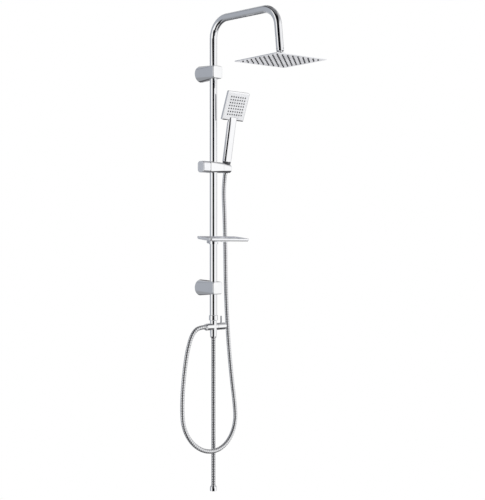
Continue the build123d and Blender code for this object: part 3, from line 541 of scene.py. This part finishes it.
# %% Directions in the studio
view_x = 0.6939
view_y = 0.7200
view_ahead = np.array([view_x, view_y, 0.0])
view_right = np.array([view_y, -view_x, 0.0])
world = bpy.data.worlds.new("studio")
scene.world = world
world.use_nodes = True
room = world.node_tree
room.nodes.clear()
direction = Wire.add(room, "ShaderNodeTexCoord", output="Generated")


def along(vector):
    """Share of the direction along a vector."""
    settings = {"operation": "DOT_PRODUCT"}
    inputs = {0: direction, 1: tuple(vector)}
    return Wire.add(room, "ShaderNodeVectorMath", settings, inputs, output="Value")


towards = along(-view_ahead)
aside = along(view_right)
height = along((0, 0, 1))
azimuth = aside.maths("ARCTAN2", aside, towards) * math.degrees(1.0)


def sector(low, high, soft):
    """1 between two azimuths and 0 outside them, with soft edges."""
    return azimuth.step(low - soft, low + soft) * (1 - azimuth.step(high - soft, high + soft))


print("the camera looks along", tuple(view_ahead))

# %% [markdown]
# The room is white. A dark card round the camera gives each tube the black stripe down its middle. It
# is wider below, at the heights that the hoses mirror, and on its left above, for the arm's drop. A
# grey wall at the left turns the sides of the brackets grey, and a panel at the right whitens the
# front faces. The back wall has a gap of light for the underside of the rain head. The stage below
# is dark, lighter in front, with a pit at the left for the shaded side of the loop.

# %% Parts of the studio
card_edge_from = 0.205
card_edge_to = 0.230
hose_band_gain = 0.9
sunk = height.maths("MINIMUM", height, 0.0)
depth = 0 - height
hose_band = depth.step(0.075, 0.11) * height.step(-0.34, -0.26)
arm_band = height.step(0.14, 0.18) * (1 - azimuth.step(-8.0, 8.0))
# How far a direction lies from the middle of the card, squared, and less where the card is wider.
from_middle = aside * aside / (1 - sunk * sunk) / (1 + hose_band * hose_band_gain + arm_band)
card_across = 1 - from_middle.step(card_edge_from, card_edge_to)
card = card_across * towards.step(-0.45, -0.35) * height.step(-0.92, -0.72)
overhead = height.step(0.78, 0.96)
ceiling = height.step(0.30, 0.70)
right = azimuth.step(0.0, 10.0)
back_right = azimuth.step(100.0, 135.0)
panel = sector(79.0, 100.0, 4.0) * (1 - ceiling)
left_wall = sector(-160.0, -72.0, 4.0)
back = 1 - sector(-165.0, 163.0, 5.0)
gap_of_light = height.step(-0.27, -0.21) * (1 - height.step(-0.08, -0.03))
stage = depth.step(0.36, 0.62)
stage_front = sector(-80.0, 76.0, 7.0)
pit = sector(-95.0, 5.0, 6.0) * depth.step(0.48, 0.62)
print("parts of the studio made with", len(room.nodes), "nodes")

# %% [markdown]
# Each part gets its grey by mixing it over the parts before it, so the order matters: the walls come
# first, then the stage and its pit, and the card last. The top of the card is greyer, which keeps
# faces that look up from going black.

# %% Colours of the studio
left_white = (1.04, 1.04, 1.04, 1.0)
right_white = (0.93, 0.93, 0.94, 1.0)
ceiling_grey = (0.38, 0.38, 0.39, 1.0)
back_right_grey = (0.60, 0.60, 0.61, 1.0)
panel_white = (1.03, 1.03, 1.03, 1.0)
left_wall_grey = (0.395, 0.415, 0.455, 1.0)
back_dark = (0.14, 0.14, 0.15, 1.0)
gap_white = (0.80, 0.80, 0.82, 1.0)
stage_dark = (0.040, 0.040, 0.044, 1.0)
stage_left_grey = (0.32, 0.33, 0.35, 1.0)
stage_front_grey = (0.66, 0.66, 0.67, 1.0)
pit_black = (0.012, 0.012, 0.014, 1.0)
card_black = (0.006, 0.006, 0.008, 1.0)
card_grey = (0.17, 0.17, 0.18, 1.0)
shade = mix_colours(room, right, left_white, right_white)
shade = mix_colours(room, right * ceiling, shade, ceiling_grey)
shade = mix_colours(room, back_right, shade, back_right_grey)
shade = mix_colours(room, panel, shade, panel_white)
shade = mix_colours(room, left_wall, shade, left_wall_grey)
shade = mix_colours(room, back, shade, back_dark)
shade = mix_colours(room, back * gap_of_light, shade, gap_white)
below = mix_colours(room, left_wall, stage_dark, stage_left_grey)
below = mix_colours(room, stage_front, below, stage_front_grey)
shade = mix_colours(room, stage, shade, below)
shade = mix_colours(room, pit, shade, pit_black)
shade = mix_colours(room, card, shade, mix_colours(room, overhead, card_black, card_grey))
print("colours of the studio mixed, now", len(room.nodes), "nodes")

# %% [markdown]
# Only mirrored rays see this room. The camera, and rays through clear things, see paper white, and all
# other rays get an even, soft light, so that colours render about as they are written. The Light Path
# node tells the rays apart.

# %% Studio world
white = (1.0, 1.0, 1.0, 1.0)
soft_white = (0.95, 0.96, 0.98, 1.0)
soft_strength = 0.75
mirrored = Wire.add(room, "ShaderNodeBackground", {}, {"Color": shade, "Strength": 1.0})
soft = Wire.add(room, "ShaderNodeBackground", {}, {"Color": soft_white, "Strength": soft_strength})
paper = Wire.add(room, "ShaderNodeBackground", {}, {"Color": white, "Strength": 1.0})
seen = Wire.add(room, "ShaderNodeLightPath", output="Is Camera Ray")
through = Wire.add(room, "ShaderNodeLightPath", output="Is Transmission Ray")
glossy = Wire.add(room, "ShaderNodeLightPath", output="Is Glossy Ray")
light = Wire.add(room, "ShaderNodeMixShader", {}, {0: glossy, 1: soft, 2: mirrored})
light = Wire.add(room, "ShaderNodeMixShader", {}, {0: seen + through, 1: light, 2: paper})
Wire.add(room, "ShaderNodeOutputWorld", {}, {"Surface": light})
print("studio world with", len(room.nodes), "nodes")

# %% [markdown]
# The column hangs above a plain pale floor. The camera sees the floor as paper white, as it sees the
# backdrop. Mirrored rays pass through it to the studio, and other light meets an ordinary surface.

# %% Floor
floor_gap = 0.16
floor_half = 6.0
floor_grey = (0.85, 0.85, 0.85, 1.0)
floor_z = cad_low.z - floor_gap
corners = np.array([(-1, -1, 0), (1, -1, 0), (1, 1, 0), (-1, 1, 0)]) * floor_half
corners[:, 2] = floor_z
floor_paint = bpy.data.materials.new("floor paper")
floor_paint.use_nodes = True
paint = floor_paint.node_tree
paint.nodes.clear()
matt = Wire.add(paint, "ShaderNodeBsdfDiffuse", {}, {"Color": floor_grey})
bright = Wire.add(paint, "ShaderNodeEmission", {}, {"Color": white, "Strength": 1.0})
clear = Wire.add(paint, "ShaderNodeBsdfTransparent")
seen = Wire.add(paint, "ShaderNodeLightPath", output="Is Camera Ray")
glossy = Wire.add(paint, "ShaderNodeLightPath", output="Is Glossy Ray")
cover = Wire.add(paint, "ShaderNodeMixShader", {}, {0: glossy, 1: matt, 2: clear})
cover = Wire.add(paint, "ShaderNodeMixShader", {}, {0: seen, 1: cover, 2: bright})
Wire.add(paint, "ShaderNodeOutputMaterial", {}, {"Surface": cover})
floor = put_mesh("floor", corners, np.array([[0, 1, 2, 3]]), floor_paint, smooth=False)
print("floor at", round(floor_z, 3), "m")

# %% [markdown]
# A large soft lamp from the right front gives the plastic and silicone pieces some form. Chrome would
# show it as a bright square, so mirrored rays don't see it.

# %% Lamp
lamp_place = np.array([1.5, -2.2, 0.7])
lamp_target = np.array([0.0, -0.1, -0.4])
lamp_data = bpy.data.lights.new("soft key", "AREA")
lamp_data.size = 1.6
lamp_data.energy = 22.0
lamp = bpy.data.objects.new("soft key", lamp_data)
lamp.location = lamp_place
lamp.rotation_mode = "QUATERNION"
lamp.rotation_quaternion = Vector(lamp_target - lamp_place).to_track_quat("-Z", "Y")
lamp.visible_glossy = False
scene.collection.objects.link(lamp)
print("lamp of", lamp_data.energy, "W at", tuple(lamp_place))

# %% [markdown]
# The camera stands at the left front, about level with the column's middle, and looks straight ahead.
# Its focal length is counted in pixels of the picture, which is 500 pixels high, and a small shift
# puts the horizon where it lies in the picture, so that upright tubes stay upright.

# %% Camera
picture_height = 500
focal_pixels = 1142.3
horizon_above_centre = 3.14
sensor = 36.0
camera_distance = 3.741
camera_aside = 0.0953
camera_z = -0.5707
camera_data = bpy.data.cameras.new("camera")
camera_data.sensor_width = sensor
camera_data.lens = sensor * focal_pixels / picture_height
camera_data.shift_y = -horizon_above_centre / picture_height
camera = bpy.data.objects.new("camera", camera_data)
stand = np.array([0.0, riser_y, camera_z]) - camera_distance * view_ahead + camera_aside * view_right
camera.location = stand
camera.rotation_mode = "QUATERNION"
camera.rotation_quaternion = Vector(view_ahead).to_track_quat("-Z", "Y")
scene.collection.objects.link(camera)
scene.camera = camera
scene.view_settings.view_transform = "Standard"
print("camera at", tuple(stand.round(3)), "lens", round(camera_data.lens, 2))
